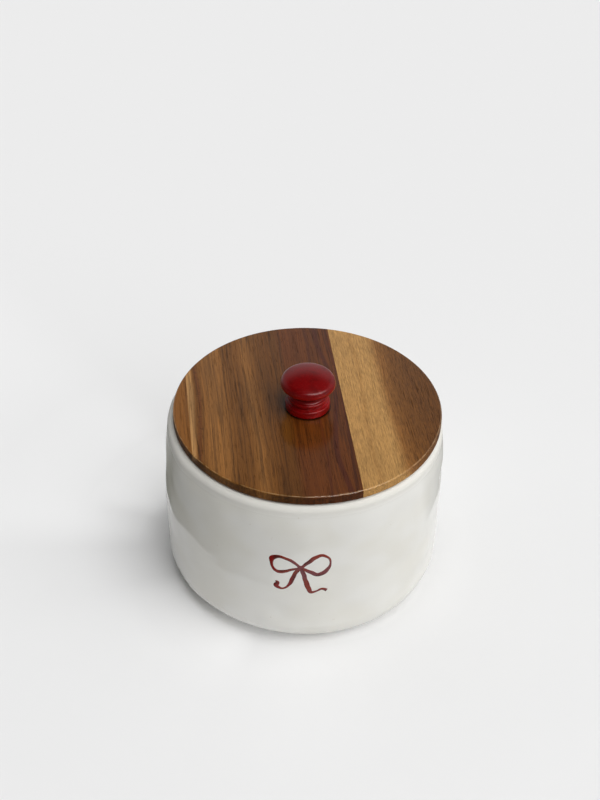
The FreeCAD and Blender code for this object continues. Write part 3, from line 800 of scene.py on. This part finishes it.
lacquerLook = {
    "red": seen(146, 6, 7), "dome": seen(108, 2, 4), "dark": seen(70, 1, 2), "worn": seen(186, 46, 36),
    "domeFrom": (14.6, 17.6), "neckAt": 12.0, "neckHalf": (1.4, 3.6), "neckShade": 0.92,
    "drift": (0.16, 0.16, 0.2), "driftFrom": (0.42, 0.78), "driftShare": 0.5,
    "fine": (1.3, 1.3, 1.5), "wornFrom": (0.58, 0.7), "wornShare": (0.5, 0.2),
    "pores": (0.5, 1.9, 1.9), "poreFrom": (0.66, 0.74), "poreShare": 0.55,
    "roughness": 0.32, "fineRoughness": 0.12, "poreRoughness": 0.1, "fineRelief": 0.5, "relief": (0.03, 0.45),
    "shine": 0.08, "lacquer": 0.42, "lacquerRoughness": 0.22,
}


def lacquerFinish():
    # Red, darker on the dome as painted shade, deeper in drifts, dark in the neck as painted shade under the cap, over
    # wood whose pores show as specks, with rubbed spots.
    look, sheet = lacquerLook, finish("red lacquer")
    x, y, z = sheet.place()
    height = z - lidTop
    drift = sheet.noiseAt((x, y, z), look["drift"])
    fine = sheet.noiseAt((x, y, z), look["fine"], 3, 0.65)
    pore = sheet.step(sheet.noiseAt((x, y, z), look["pores"], 1), *look["poreFrom"])
    worn = sheet.step(height, *look["domeFrom"], *look["wornShare"]) * sheet.step(fine, *look["wornFrom"])
    # painted shade: the neck under the cap's overhang is darkened
    neck = sheet.step(abs(height - look["neckAt"]), *look["neckHalf"], look["neckShade"], 0.0)
    # painted shade: the dome top is darker than the lower parts
    colour = sheet.mix(sheet.step(height, *look["domeFrom"]), look["red"], look["dome"])
    colour = sheet.mix(sheet.step(drift, *look["driftFrom"], 0.0, look["driftShare"]), colour, look["dark"])
    colour = sheet.mix(worn, colour, look["worn"])
    colour = sheet.mix(neck, colour, look["dark"])
    colour = sheet.mix(pore * look["poreShare"], colour, look["dark"])
    sheet.feed({
        "Base Color": colour,
        "Roughness": look["roughness"] + look["fineRoughness"] * (fine - 0.5) + look["poreRoughness"] * pore,
        "Coat Weight": look["lacquer"] * (1 - neck),
        "Normal": sheet.bump(look["fineRelief"] * fine - pore, *look["relief"]),
        "Specular IOR Level": look["shine"], "Coat Roughness": look["lacquerRoughness"],
    })
    return sheet


# Seal: soft and milky, in its CAD shape
sealLook = {
    "milk": seen(226, 226, 220), "dust": seen(204, 202, 192), "haze": (0.15, 0.15, 0.6), "hazeFrom": (0.4, 0.7),
    "fine": (2.0,) * 3, "roughness": 0.5, "fineRoughness": 0.15, "relief": (0.02, 0.4), "soft": 0.25, "softDepth": 1.5,
}


def dressSeal():
    look, sheet = sealLook, finish("soft seal")
    place = sheet.place()
    haze = sheet.noiseAt(place, look["haze"], 3)
    fine = sheet.noiseAt(place, look["fine"])
    sheet.feed({
        "Base Color": sheet.mix(sheet.step(haze, *look["hazeFrom"]), look["milk"], look["dust"]),
        "Roughness": look["roughness"] + look["fineRoughness"] * (fine - 0.5),
        "Normal": sheet.bump(fine, *look["relief"]),
        "Subsurface Weight": look["soft"], "Subsurface Radius": (1, 1, 1), "Subsurface Scale": look["softDepth"] * mm,
    })
    cadNodes["lid_seal"].material_slots[0].material = sheet.owner
    print("seal finished")


# Screw: bright zinc with turning marks round its axis, in its CAD shape
screwLook = {
    "zinc": seen(206, 207, 205), "dull": seen(150, 150, 147), "spots": (0.9,) * 3, "spotFrom": (0.45, 0.75),
    "turning": (9.0, 0.8), "roughness": 0.28, "turnedRoughness": 0.25, "relief": (0.01, 0.5),
}


def dressScrew():
    look, sheet = screwLook, finish("bright screw")
    x, y, z = sheet.place()
    away = (x * x + y * y) ** 0.5
    turned = sheet.noise(away * look["turning"][0], z * look["turning"][1], 0.0, 3, 0.7)
    spots = sheet.noiseAt((x, y, z), look["spots"], 3)
    sheet.feed({
        "Base Color": sheet.mix(sheet.step(spots, *look["spotFrom"]), look["zinc"], look["dull"]),
        "Roughness": look["roughness"] + look["turnedRoughness"] * (turned - 0.5),
        "Normal": sheet.bump(turned, *look["relief"]),
        "Metallic": 1.0,
    })
    cadNodes["knob_screw"].material_slots[0].material = sheet.owner
    print("screw finished")


setCamera()
setFloor()
setSky()
setLamps()
makeJar()
makeBow()
dressLid()
makeKnob()
dressSeal()
dressScrew()
